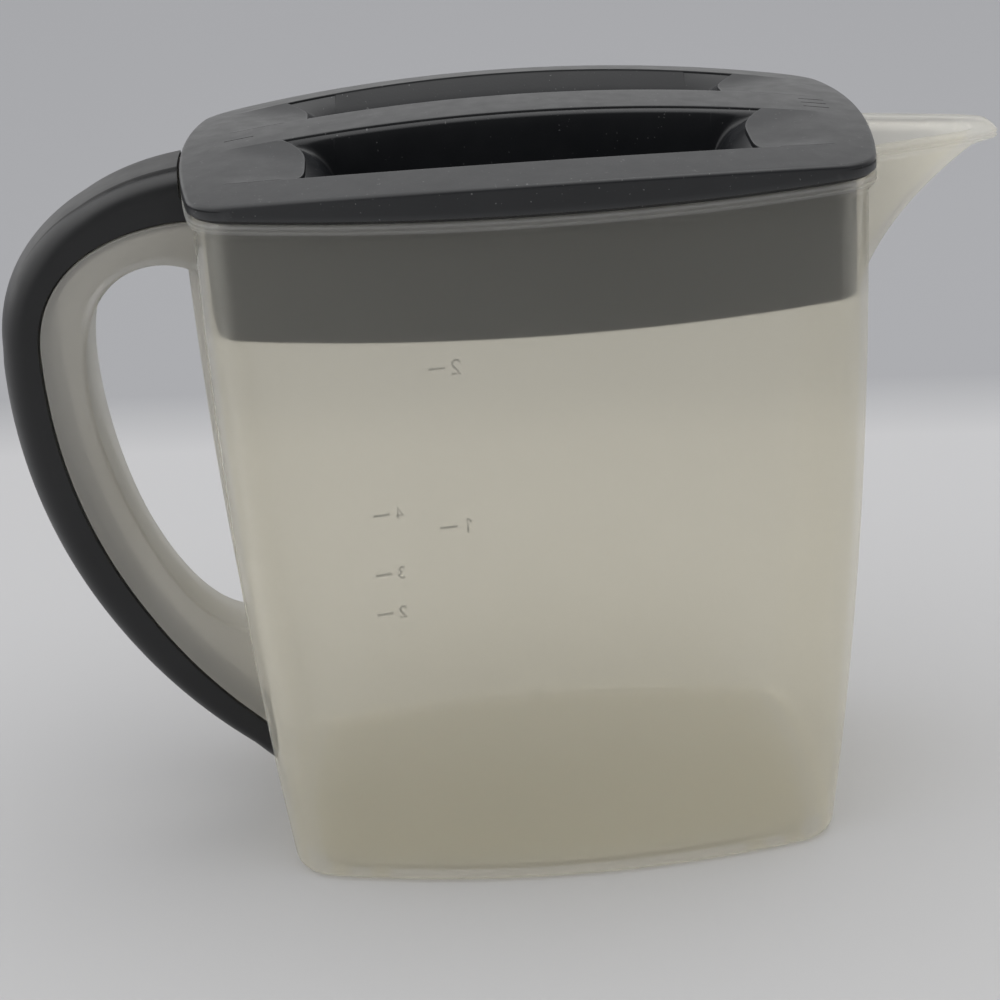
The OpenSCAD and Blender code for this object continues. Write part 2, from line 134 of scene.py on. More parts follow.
def quarter(a, b, inset, counts, bunching):
    """Points of the +X, -Y quarter; bunching draws those on the end arc towards its middle."""
    (side, rs), (end, re), (c, rc), t1, t2 = arcs(a, b, inset)
    n_side, n_corner, n_end = counts
    points = [on_arc(side, rs, mix(-math.pi / 2, t1, i / n_side)) for i in range(n_side)]
    points += [on_arc(c, rc, mix(t1, t2, i / n_corner)) for i in range(n_corner)]
    points += [
        on_arc(end, re, math.asin(math.sin(t2) * (1 - i / n_end) ** bunching)) for i in range(n_end + 1)
    ]
    return points


def flipped(points, sx, sy):
    return [(x * sx, y * sy) for x, y in points]


def outline(a, b, inset):
    """Closed outline, counter-clockwise from above, with close steps at the spout end."""
    mouth = quarter(a, b, inset, MOUTH_COUNTS, MOUTH_BUNCHING)
    plain = quarter(a, b, inset, PLAIN_COUNTS, 1.0)
    return (
        mouth
        + flipped(mouth, 1, -1)[::-1][1:]
        + flipped(plain, -1, -1)[1:]
        + flipped(plain, -1, 1)[::-1][1:-1]
    )


def spout_push(y, z, inset):
    """How far the spout takes the end wall out at a place across it and a height."""
    u = max(0.0, (z - RIM + SPOUT_HEIGHT) / SPOUT_HEIGHT)
    if u == 0:
        return 0.0
    slope = 2 * SPOUT_REACH * u / SPOUT_HEIGHT
    lip = SPOUT_LIP * max(0.0, -inset) / BEAD_REACH
    reach = SPOUT_REACH * u * u + lip - max(0.0, inset) * (math.sqrt(1 + slope * slope) - 1)
    w = SPOUT_HALF * u**SPOUT_FLARE - inset * (SPOUT_SIDE_SHARE if inset > 0 else 1.0)
    if w <= 0 or reach <= 0:
        return 0.0
    share = SPOUT_ROUND * u**SPOUT_NOSE
    return reach * (1 - SPOUT_BOW * (y / w) ** 2) * (1 - smooth((abs(y) / w - share) / (1 - share)))


def plain_ring(z, inset, scale=1.0):
    return [(x * scale, y * scale, z) for x, y in outline(half_length(z), half_depth(z), inset)]


def jug_ring(z, inset):
    spout_z = min(z, RIM - BEAD_HEIGHT)
    return [
        (x + (spout_push(y, spout_z, inset) if x > 0 else 0.0), y, h) for x, y, h in plain_ring(z, inset)
    ]


# Meshes


def loft(rings):
    """Vertices and faces over a stack of rings with equal numbers of points, capped at both ends."""
    n = len(rings[0])
    verts = [p for ring in rings for p in ring]
    faces = []
    for j in range(len(rings) - 1):
        for i in range(n):
            k = (i + 1) % n
            faces.append((j * n + i, j * n + k, (j + 1) * n + k, (j + 1) * n + i))
    last = (len(rings) - 1) * n
    faces.append(tuple(range(n))[::-1])
    faces.append(tuple(last + i for i in range(n)))
    return verts, faces


def make(name, verts, faces, merge=0.0):
    """Object with a closed mesh whose faces look outwards. Lengths come in millimetres."""
    mesh = bpy.data.meshes.new(name)
    mesh.from_pydata([(x * MM, y * MM, z * MM) for x, y, z in verts], [], faces)
    bm = bmesh.new()
    bm.from_mesh(mesh)
    if merge:
        bmesh.ops.remove_doubles(bm, verts=bm.verts, dist=merge * MM)
        bmesh.ops.dissolve_degenerate(bm, edges=bm.edges, dist=merge * MM)
    bmesh.ops.recalc_face_normals(bm, faces=bm.faces)
    if bm.calc_volume(signed=True) < 0:
        bmesh.ops.reverse_faces(bm, faces=bm.faces)
    bm.to_mesh(mesh)
    bm.free()
    obj = bpy.data.objects.new(name, mesh)
    bpy.context.scene.collection.objects.link(obj)
    return obj


def combine(base, others, operation):
    """Joins or cuts base with other objects, which are used up."""
    for other in others:
        modifier = base.modifiers.new("combine", "BOOLEAN")
        modifier.solver = "EXACT"
        modifier.operation = operation
        modifier.object = other
    bpy.context.view_layer.update()
    done = bpy.data.meshes.new_from_object(base.evaluated_get(bpy.context.evaluated_depsgraph_get()))
    base.modifiers.clear()
    base.data = done
    done.name = base.name
    for other in others:
        bpy.data.objects.remove(other)


def smooth_shade(obj, crease):
    """Smooth shading that keeps edges sharp where they turn by more than the crease angle."""
    obj.data.shade_smooth()
    obj.data.set_sharp_from_angle(angle=math.radians(crease))


def weigh_normals(obj):
    """Keeps broad faces flat beside narrow roundings, so that the edges stay crisp."""
    weights = obj.modifiers.new("weighted_normals", "WEIGHTED_NORMAL")
    weights.keep_sharp = True


def place(obj, body, slot, material, *nodes):
    """Lets a piece ride a body in place of the CAD nodes that it shows; slot is not used. The material
    is for a piece that has none yet."""
    if not obj.data.materials:
        obj.data.materials.append(material)
    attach(obj, body)
    if nodes:
        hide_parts(*nodes)


# Materials


def new_material(name):
    material = bpy.data.materials.new(name)
    material.use_nodes = True
    tree = material.node_tree
    return material, tree, tree.nodes["Principled BSDF"]


def add(tree, kind, **values):
    """Node with its properties, and its inputs where a value's name is an input's."""
    node = tree.nodes.new(kind)
    for key, value in values.items():
        if key in node.inputs:
            node.inputs[key].default_value = value
        else:
            setattr(node, key, value)
    return node


def noise(tree, scale, detail=3.0):
    """Noise over the object's own coordinates; scale is in waves per metre."""
    where = add(tree, "ShaderNodeTexCoord")
    texture = add(tree, "ShaderNodeTexNoise", Scale=scale, Detail=detail, Roughness=0.55)
    tree.links.new(where.outputs["Object"], texture.inputs["Vector"])
    return texture.outputs["Fac"]


def remap(tree, value, low, high, to_low, to_high):
    node = add(tree, "ShaderNodeMapRange")
    tree.links.new(value, node.inputs["Value"])
    node.inputs["From Min"].default_value = low
    node.inputs["From Max"].default_value = high
    node.inputs["To Min"].default_value = to_low
    node.inputs["To Max"].default_value = to_high
    return node.outputs["Result"]


def blend_colours(tree, factor, first, second):
    node = add(tree, "ShaderNodeMix", data_type="RGBA")
    tree.links.new(factor, node.inputs["Factor"])
    for socket, value in ((node.inputs[6], first), (node.inputs[7], second)):
        if isinstance(value, bpy.types.NodeSocket):
            tree.links.new(value, socket)
        else:
            socket.default_value = (*value, 1.0)
    return node.outputs[2]


def bump(tree, shader, height, strength, distance):
    node = add(tree, "ShaderNodeBump", Strength=strength, Distance=distance)
    tree.links.new(height, node.inputs["Height"])
    tree.links.new(node.outputs["Normal"], shader.inputs["Normal"])


# Colour of the light that passes straight through one surface of the plastic
CLEAR_TINT = (1.0, 0.981, 0.927, 1.0)


def natural_plastic(name, tints, cover, transmission, roughness):
    """Milky plastic that shows what lies behind it, a little paler where it is seen at a slant. Cover is
    the share of light that doesn't pass straight through a surface."""
    material, tree, shader = new_material(name)
    cloud = remap(tree, noise(tree, 14.0, 3.0), 0.3, 0.7, 0.0, 1.0)
    tree.links.new(blend_colours(tree, cloud, *tints), shader.inputs["Base Color"])
    shader.inputs["Roughness"].default_value = roughness
    shader.inputs["Transmission Weight"].default_value = transmission
    shader.inputs["IOR"].default_value = 1.4
    shader.inputs["Sheen Weight"].default_value = 0.3
    shader.inputs["Sheen Roughness"].default_value = 0.4
    shader.inputs["Sheen Tint"].default_value = (0.9, 0.96, 1.0, 1.0)
    clear = add(tree, "ShaderNodeBsdfTransparent")
    clear.inputs["Color"].default_value = CLEAR_TINT
    veil = add(tree, "ShaderNodeMixShader")
    veil.inputs["Fac"].default_value = cover
    tree.links.new(clear.outputs["BSDF"], veil.inputs[1])
    tree.links.new(shader.outputs["BSDF"], veil.inputs[2])
    tree.links.new(veil.outputs["Shader"], tree.nodes["Material Output"].inputs["Surface"])
    return material


def grip_plastic():
    material, tree, shader = new_material("grip_plastic")
    wear = remap(tree, noise(tree, 35.0, 5.0), 0.45, 0.75, 0.0, 1.0)
    colour = blend_colours(tree, wear, (0.006, 0.0063, 0.0072), (0.009, 0.0095, 0.0105))
    tree.links.new(colour, shader.inputs["Base Color"])
    tree.links.new(remap(tree, noise(tree, 120.0), 0.3, 0.7, 0.38, 0.46), shader.inputs["Roughness"])
    bump(tree, shader, noise(tree, 2200.0, 2.0), 0.1, 0.0001)
    return material


def lid_plastic():
    material, tree, shader = new_material("lid_plastic")
    cloud = remap(tree, noise(tree, 28.0, 5.0), 0.35, 0.7, 0.0, 1.0)
    base = blend_colours(tree, cloud, (0.008, 0.0088, 0.0105), (0.0115, 0.0125, 0.0145))
    dust = remap(tree, noise(tree, 1100.0, 1.0), 0.735, 0.77, 0.0, 0.3)
    dusty = blend_colours(tree, dust, base, (0.35, 0.35, 0.35))
    # Convex edges painted lighter: a painted highlight along the lid's edges and roundings
    edges = remap(tree, add(tree, "ShaderNodeNewGeometry").outputs["Pointiness"], 0.52, 0.6, 0.0, 1.0)
    tree.links.new(blend_colours(tree, edges, dusty, (0.07, 0.072, 0.075)), shader.inputs["Base Color"])
    tree.links.new(remap(tree, noise(tree, 150.0), 0.3, 0.7, 0.32, 0.4), shader.inputs["Roughness"])
    shader.inputs["IOR"].default_value = 1.5
    bump(tree, shader, noise(tree, 1800.0, 2.0), 0.15, 0.00012)
    return material


def scale_ink():
    material, tree, shader = new_material("scale_ink")
    fade = remap(tree, noise(tree, 300.0, 2.0), 0.35, 0.65, 0.0, 1.0)
    colour = blend_colours(tree, fade, (0.09, 0.09, 0.09), (0.2, 0.2, 0.195))
    tree.links.new(colour, shader.inputs["Base Color"])
    shader.inputs["Roughness"].default_value = 0.6
    return material


NATURAL = natural_plastic(
    "natural_plastic",
    ((0.79, 0.795, 0.765), (0.82, 0.825, 0.795)),
    cover=0.32,
    transmission=0.79,
    roughness=0.4,
)
# Handle copy of the plastic: milkier, with a darker tint that is painted shade where the grip cover keeps
# light out of the channel
MILKY_SHADED = natural_plastic(
    "natural_plastic_handle",
    ((0.66, 0.65, 0.62), (0.7, 0.69, 0.66)),
    cover=0.66,
    transmission=0.55,
    roughness=0.5,
)
# Paler, more covered copy of the plastic for the bead: painted light for the bright band that the rim
# catches from above
RIM_PAINTED_LIGHT = natural_plastic(
    "natural_plastic_rim",
    ((0.77, 0.775, 0.77), (0.81, 0.815, 0.81)),
    cover=0.4,
    transmission=0.64,
    roughness=0.4,
)
BODY_MATERIALS = (NATURAL, MILKY_SHADED, RIM_PAINTED_LIGHT)
GRIP = grip_plastic()
LID = lid_plastic()
INK = scale_ink()


# Handle curves

# Pulls of the curves' inner control points, as shares of a run or as lengths
HANDLE_SHOULDER, HANDLE_DROP_PULL, HANDLE_SWEEP_PULL, HANDLE_FOOT_PULL = 0.51, 0.68, 0.66, 3.9
OPENING_ROOT_DROP, OPENING_ROOT_RUN, OPENING_ARCH, OPENING_SHOULDER = 7.7, 2.0, -2.0, 4.3
OPENING_SWEEP_PULL, OPENING_FOOT_RUN = 0.39, 20.2
# Share of the lower half over which the handle narrows
HANDLE_NARROWING = 0.5


def bezier(p, t):
    w = ((1 - t) ** 3, 3 * t * (1 - t) ** 2, 3 * t * t * (1 - t), t**3)
    return Vector((sum(k * q[0] for k, q in zip(w, p)), sum(k * q[1] for k, q in zip(w, p))))


def two_beziers(p, q, count):
    """Points along two curves that follow one another, count steps to each."""
    return [bezier(p, i / count) for i in range(count)] + [bezier(q, i / count) for i in range(count + 1)]


def channel_edge(count):
    """Outer edge of the handle channel, from the rim over the knuckle to the foot."""
    foot = -half_length(HANDLE_FOOT)
    return two_beziers(
        (
            (-half_length(HANDLE_TOP) + WALL / 2, HANDLE_TOP),
            (mix(-RIM_A, HANDLE_OUT, HANDLE_SHOULDER), HANDLE_TOP),
            (HANDLE_OUT, mix(KNUCKLE, HANDLE_TOP, HANDLE_DROP_PULL)),
            (HANDLE_OUT, KNUCKLE),
        ),
        (
            (HANDLE_OUT, KNUCKLE),
            (HANDLE_OUT, mix(KNUCKLE, HANDLE_FOOT, HANDLE_SWEEP_PULL)),
            (foot - HANDLE_FOOT_PULL, HANDLE_FOOT + HANDLE_FOOT_PULL),
            (foot + WALL / 2, HANDLE_FOOT - WALL / 2),
        ),
        count,
    )


def opening_edge(count):
    """Edge of the finger opening, beside the channel's outer edge."""
    root = -half_length(OPENING_TOP) + WALL / 2
    foot = -half_length(OPENING_FOOT) + WALL / 2
    return two_beziers(
        (
            (root, OPENING_TOP - OPENING_ROOT_DROP),
            (root - OPENING_ROOT_RUN, OPENING_TOP + OPENING_ARCH),
            (OPENING_OUT, OPENING_TOP + OPENING_SHOULDER),
            (OPENING_OUT, OPENING_KNUCKLE),
        ),
        (
            (OPENING_OUT, OPENING_KNUCKLE),
            (OPENING_OUT, mix(OPENING_KNUCKLE, OPENING_FOOT, OPENING_SWEEP_PULL)),
            (foot - OPENING_FOOT_RUN, OPENING_FOOT),
            (foot, OPENING_FOOT),
        ),
        count,
    )


def handle_half(t):
    """Half width of the handle, t from 0 at its top over 1 at the knuckle to 2 at its lower end."""
    return mix(HANDLE_HALF, HANDLE_FOOT_HALF, smooth((t - 1) / HANDLE_NARROWING))


def arc_points(cx, cy, radius, start, end, count):
    angles = [math.radians(mix(start, end, t)) for t in steps(count)]
    return [(cx + radius * math.cos(a), cy + radius * math.sin(a)) for a in angles]


# Pitcher body

# Shares of the outline at the rings that close the floor and the foot recess
CAP_SHARES = (0.15, 0.45, 0.75)
# Rim and bead as (drop below the rim, inset) pairs, from the inside over the top to the wall
RIM_EDGE = ((0.7, WALL), (0.35, 1.85), (0.1, 1.5), (0.0, 1.0), (0.0, -0.9), (0.1, -1.5), (0.35, -1.9))
BEAD = ((0.7, -2.1), (1.0, -2.05), (1.25, -1.75), (1.5, -1.75), (1.75, -2.05), (2.05, -2.1), (2.4, -1.95))
BEAD_UNDER = ((2.8, -1.5), (3.3, -0.95), (3.8, -0.5), (4.3, -0.18), (4.8, 0.0))
# Inner edge of the foot ring: width and rise of its break, and its draft up to the recess
FOOT_BREAK, FOOT_BREAK_RISE, FOOT_DRAFT = 0.4, 0.25, 0.3
WALL_STEPS, SPOUT_STEPS = 20, 22


def body_shell():
    low = FLOOR_TOP + FLOOR_FILLET
    spout_foot = RIM - SPOUT_HEIGHT
    rings = [plain_ring(FLOOR_TOP, WALL + FLOOR_FILLET, share) for share in CAP_SHARES]
    for t in steps(8):
        angle = t * math.pi / 2
        rise, inset = FLOOR_FILLET * (1 - math.cos(angle)), FLOOR_FILLET * (1 - math.sin(angle))
        rings.append(jug_ring(FLOOR_TOP + rise, WALL + inset))
    rings += [jug_ring(mix(low, spout_foot, t), WALL) for t in steps(WALL_STEPS)[1:]]
    rings += [jug_ring(mix(spout_foot, RIM - RIM_EDGE[0][0], t), WALL) for t in steps(SPOUT_STEPS)[1:]]
    rings += [jug_ring(RIM - drop, inset) for drop, inset in RIM_EDGE[1:] + BEAD + BEAD_UNDER]
    bead_foot = RIM - BEAD_UNDER[-1][0]
    rings += [jug_ring(mix(bead_foot, spout_foot, t), 0.0) for t in steps(SPOUT_STEPS)[1:]]
    rings += [jug_ring(mix(spout_foot, FOOT_EDGE, t), 0.0) for t in steps(WALL_STEPS)[1:]]
    for t in steps(6)[1:]:
        angle = t * math.pi / 2
        rings.append(jug_ring(FOOT_EDGE * (1 - math.sin(angle)), FOOT_EDGE * (1 - math.cos(angle))))
    inner = FOOT_EDGE + FOOT_WIDTH
    rings += [plain_ring(0.0, inner - FOOT_BREAK), plain_ring(FOOT_BREAK_RISE, inner)]
    rings.append(plain_ring(FOOT_HEIGHT, inner + FOOT_DRAFT))
    rings += [plain_ring(FOOT_HEIGHT, inner + FOOT_DRAFT, share) for share in reversed(CAP_SHARES)]
    return make("pitcher_shell", *loft(rings))


# Channel: outside rounding, inside fillet, break of its edges, and the points along its sides
CHANNEL_ROUND, CHANNEL_FILLET, CHANNEL_BREAK = 1.6, 1.2, 0.35
CHANNEL_SIDE_END, CHANNEL_SIDE_SHARES = 1.0, (0.35, 0.7)
CHANNEL_STEPS = 48
# Plate on the end wall behind the fingers: half width, greatest rise, and rounding from foot to top
PLATE_HALF, PLATE_RISE, PLATE_LEAST_ROUND, PLATE_ROUND = 11.0, 2.4, 0.05, 0.9
# Drain notches: places along the foot ring, half width, length, and the heights that they span
NOTCH_PLACES, NOTCH_HALF, NOTCH_LENGTH, NOTCH_HEIGHTS = (52.0, 63.0), 2.5, 9.0, (-1.0, 0.6)


def channel_section(length, h):
    """U section over the handle's width: distance from the finger opening's edge, and place across."""
    r, ri, cut = CHANNEL_ROUND, CHANNEL_FILLET, CHANNEL_BREAK
    side = h - CHANNEL_WALL
    half = [(length, side + cut), (length, h - cut), (length - cut, h)]
    half += [(mix(length - CHANNEL_SIDE_END, r, t), h) for t in CHANNEL_SIDE_SHARES]
    half += arc_points(r, h - r, r, 90, 180, 6)
    outer = half + [(s, -y) for s, y in reversed(half)]
    back = [(length - cut, side)] + arc_points(CHANNEL_BACK + ri, side - ri, ri, 90, 180, 4)
    inside = [(s, -y) for s, y in back] + list(reversed(back))
    return outer + inside


def handle_channel():
    rings = []
    for i, (out, inner) in enumerate(zip(channel_edge(CHANNEL_STEPS), opening_edge(CHANNEL_STEPS))):
        way = out - inner
        run = way / way.length
        section = channel_section(way.length, handle_half(i / CHANNEL_STEPS))
        rings.append([(inner.x + run.x * s, y, inner.y + run.y * s) for s, y in section])
    return make("handle_channel", *loft(rings))


def handle_plate():
    """Plate on the end wall that rises out of the wall from its foot to its top."""
    low, high = OPENING_FOOT - CHANNEL_BACK, OPENING_TOP - OPENING_ROOT_DROP + CHANNEL_BACK
    rings = []
    for t in steps(24):
        z = mix(low, high, t)
        x = -half_length(z)
        r = PLATE_ROUND * t + PLATE_LEAST_ROUND
        ring = [(x + WALL / 2, PLATE_HALF)]
        ring += arc_points(x - PLATE_RISE * t + r, PLATE_HALF - r, r, 90, 180, 4)
        ring += [(px, -py) for px, py in reversed(ring)]
        rings.append([(px, py, z) for px, py in ring])
    return make("handle_plate", *loft(rings))


def foot_notches():
    """Cutters for the notches across the foot ring, near its corners."""
    tools = []
    for along in NOTCH_PLACES:
        for sx in (-1, 1):
            for sy in (-1, 1):
                outside = sy * (BASE_B - along * along / (2 * SIDE_BOW))
                turn = 0 if sy > 0 else 180
                ring = arc_points(sx * along, outside, NOTCH_HALF, turn, turn + 180, 10)
                inside = outside - sy * NOTCH_LENGTH
                ring += arc_points(sx * along, inside, NOTCH_HALF, 180 - turn, 360 - turn, 10)
                tools.append(make("notch", *loft([[(x, y, z) for x, y in ring] for z in NOTCH_HEIGHTS])))
    return tools


body = body_shell()
handle = [handle_channel(), handle_plate()]
for piece in [body] + handle:
    for material in BODY_MATERIALS:
        piece.data.materials.append(material)
# The handle takes the milkier copy, whose darker tint is painted shade under the grip cover
for piece in handle:
    for polygon in piece.data.polygons:
        polygon.material_index = BODY_MATERIALS.index(MILKY_SHADED)
combine(body, handle, "UNION")
combine(body, foot_notches(), "DIFFERENCE")
smooth_shade(body, crease=38)
place(body, "pitcher", "natural_plastic", NATURAL, "pitcher_body")
# Faces on the bead take the paler copy, a painted highlight along the rim
for polygon in body.data.polygons:
    centre = polygon.center / MM
    on_bead = centre.z > RIM - BEAD_HEIGHT and centre.x < RIM_A + BEAD_REACH
    if on_bead and polygon.material_index == BODY_MATERIALS.index(NATURAL):
        polygon.material_index = BODY_MATERIALS.index(RIM_PAINTED_LIGHT)


# Grip cover

# Rise of the cover at the lid, along its upper half and at its foot, and the belly of its lower half
GRIP_END_RISE, GRIP_RISE, GRIP_FOOT_RISE, GRIP_BELLY = 14.4, 11.6, 9.6, 0.9
# Height of the straight sides, and how square the section is at the lid and how round further down
GRIP_SIDE, GRIP_SQUARE, GRIP_ROUND = 4.0, 6.0, 2.3
# Shares of the upper half over which the rise, the squareness and the panel fade
RISE_FADE, SQUARE_FADE, PANEL_FADE = 0.4, 0.7, 0.75
# Panel on the cover's top: rise, its edge as a share of the half width, and points about that edge
PANEL_RISE, PANEL_EDGE, PANEL_STEP = 0.9, 0.6, 0.035
PANEL_POINTS = (-0.02, 0.0, 0.01, 0.02, 0.03, 0.05)
# Lower edges: gap to the channel, break of the edge, and the height up to which the flank is flat
GRIP_GAP, GRIP_BREAK, GRIP_FLANK = 0.3, 0.4, 2.3
# Tongue: gap beside it, depth and draft
TONGUE_GAP, TONGUE_DEPTH, TONGUE_DRAFT = 2.6, 2.2, 0.3
# Run past the channel's end, which the room for the body then cuts, and the gap that it leaves
GRIP_TAIL, GRIP_END_GAP, GRIP_STEPS = 14.2, 0.8, 56
# Room for the body: where its wall ends below the rim, and its height above the lid
ROOM_NECK, ROOM_ABOVE = 4.5, 14.0


def grip_section(t):
    """Section across the cover, t from 0 at the lid over 1 at the knuckle to 2 at the lower end. A flat
    panel stands a little proud of the cover's top near the lid and sinks into it further down."""
    half = handle_half(t)
    above, below = min(1.0, t), max(0.0, t - 1)
    hold = mix(GRIP_END_RISE, GRIP_RISE, min(1.0, above / RISE_FADE))
    belly = GRIP_BELLY * math.sin(math.pi * math.sqrt(below))
    rise = mix(hold, GRIP_FOOT_RISE, smooth(below)) + belly - GRIP_SIDE
    power = 2 / mix(GRIP_SQUARE, GRIP_ROUND, smooth(above / SQUARE_FADE))
    panel = PANEL_RISE * (1 - smooth(t / PANEL_FADE))
    angles = [math.pi * k for k in steps(40)]
    for shift in PANEL_POINTS:
        angle = math.acos((PANEL_EDGE + shift) ** (1 / power))
        angles += [angle, math.pi - angle]
    flank = [(half - GRIP_BREAK, GRIP_GAP), (half, GRIP_GAP + GRIP_BREAK), (half, GRIP_FLANK)]
    points = [(-y, h) for y, h in flank]
    for angle in sorted(angles):
        c, s = math.cos(angle), max(0.0, math.sin(angle))
        across = abs(c) ** power
        step = panel * smooth((across - PANEL_EDGE) / PANEL_STEP)
        points.append((-half * math.copysign(across, c), GRIP_SIDE + (rise - step) * s**power))
    points += reversed(flank)
    tongue = half - CHANNEL_WALL - TONGUE_GAP
    points += [(tongue + TONGUE_DRAFT, GRIP_GAP), (tongue, -TONGUE_DEPTH)]
    return points + [(-tongue, -TONGUE_DEPTH), (-tongue - TONGUE_DRAFT, GRIP_GAP)]


def grip_cover():
    path = channel_edge(GRIP_STEPS)
    rings = []
    for i in range(len(path) + 1):
        k = min(i, len(path) - 1)
        run = path[min(k + 1, len(path) - 1)] - path[max(k - 1, 0)]
        run.normalize()
        p = path[k] + run * (GRIP_TAIL if i == len(path) else 0.0)
        out = Vector((run.y, -run.x))
        rings.append([(p.x + out.x * h, y, p.y + out.y * h) for y, h in grip_section(k / GRIP_STEPS)])
    return make("grip_cover", *loft(rings))


def jug_room(gap):
    """Room that the body and the lid take up, with a gap round them."""
    rings = [plain_ring(mix(0.0, RIM - ROOM_NECK, t), -gap) for t in steps(24)]
    rings += [plain_ring(z, -BEAD_REACH - gap) for z in (RIM - BEAD_HEIGHT, CROWN_TOP + ROOM_ABOVE)]
    return make("jug_room", *loft(rings))


grip = grip_cover()
combine(grip, [jug_room(GRIP_END_GAP)], "DIFFERENCE")
smooth_shade(grip, crease=40)
place(grip, "pitcher", "grip_plastic", GRIP, "handle_grip")


# Lid


def crown(x, y):
    return CROWN_TOP - x * x / (2 * CROWN_X) - y * y / (2 * CROWN_Y)


def well_edge(x):
    r = SIDE_BOW + BEAD_REACH - SIDE_BAR
    return math.sqrt(r * r - x * x) - r + RIM_B + BEAD_REACH - SIDE_BAR


SLOPE = math.radians(RAMP_ANGLE)
# The pads' hollows lie between the lines of the well's edges and fade out along the lid
PAD_FULL, PAD_END = 56.0, 82.0
# Lip under a pad's edge and its run, the margin behind the edge, and its rounding as (run, drop) pairs
PAD_LIP, PAD_LIP_RUN, PAD_MARGIN = 1.3, 0.3, 0.5
PAD_EDGE = ((0.24, 0.75), (0.2, 0.3), (0.08, 0.08), (0.0, 0.0))
# Well walls: the bar's small ledge as (offset, drop) pairs from its edge, and the slant of the outer walls
BAR_LEDGE = ((-0.6, 0.0), (-0.3, 0.015), (-0.1, 0.08), (0.0, 0.28), (0.03, 0.7), (0.35, 0.9), (0.8, 1.35))
BAR_LEDGE += ((1.05, 1.9),)
OUTER_EDGE = ((-0.03, 0.7), (0.0, 0.28), (0.1, 0.08), (0.3, 0.015), (0.6, 0.0))
WALL_SLANT, WALL_FILLET, WALL_DRAFT = 7.0, 3.0, 0.03
# Strip of the bar's top beside its edge, least depth of the outer walls, and width of the softened creases
BAR_MARGIN, OUTER_LEAST, CREASE = 1.2, 0.75, 0.25
# Grid rows between a side bar's rounded edge and the lid's outline, which also go round its corners
CORNER_ROWS = 12


def bulge(share):
    """1 over most of a well's width, falling to 0 at its two sides."""
    return 1 - (2 * share - 1) ** 4


def pad_height(x, y, grow):
    """Crown with the shallow hollows of the end pads, for a surface that far below the top."""
    top = crown(x, y) - grow
    share = (abs(y) - BAR_HALF) / (well_edge(x) - BAR_HALF)
    if not 0 < share < 1:
        return top
    fade = 1 - smooth((abs(x) - PAD_FULL) / (PAD_END - PAD_FULL))
    return top - PAD_HOLLOW * fade * bulge(share)


def well_stations(grow, end_x):
    """Stations along half a lid, each as its place and what the well's surface does there: its height
    on the floor, its share of the upright wall, its drop below the pad's edge, or nothing on the pad."""
    low = CROWN_TOP - WELL_DEPTH
    centre = WELL_HALF - WELL_FILLET
    found = [(mix(0, centre, t), "floor", low - grow) for t in steps(12)]
    fillet = arc_points(centre, low + WELL_FILLET, WELL_FILLET + grow, -90, 0, 6)
    found += [(x, "floor", z) for x, z in fillet[1:]]
    wall_x = found[-1][0]
    found += [(wall_x + WALL_DRAFT * t, "wall", t) for t in steps(4)[1:-1]]
    roll = WELL_ROLL - grow
    turn = arc_points(WELL_HALF + WELL_ROLL, 0.0, roll, 180, 90 + RAMP_ANGLE, 16)
    base = RAMP_DEPTH + WELL_ROLL * math.cos(SLOPE)
    found += [(x + 2 * WALL_DRAFT, "drop", base - h - grow) for x, h in turn]
    foot_x, _, foot_drop = found[-1]
    edge_x = foot_x + foot_drop / math.tan(SLOPE)
    lip_x = edge_x - PAD_LIP_RUN
    found += [(mix(foot_x, lip_x, t), "drop", mix(foot_drop, PAD_LIP, t)) for t in steps(6)[1:]]
    found += [(edge_x - short, "drop", drop) for short, drop in PAD_EDGE]
    found += [(mix(edge_x + PAD_MARGIN, end_x, t), "pad", 0.0) for t in steps(12)]
    return found, edge_x


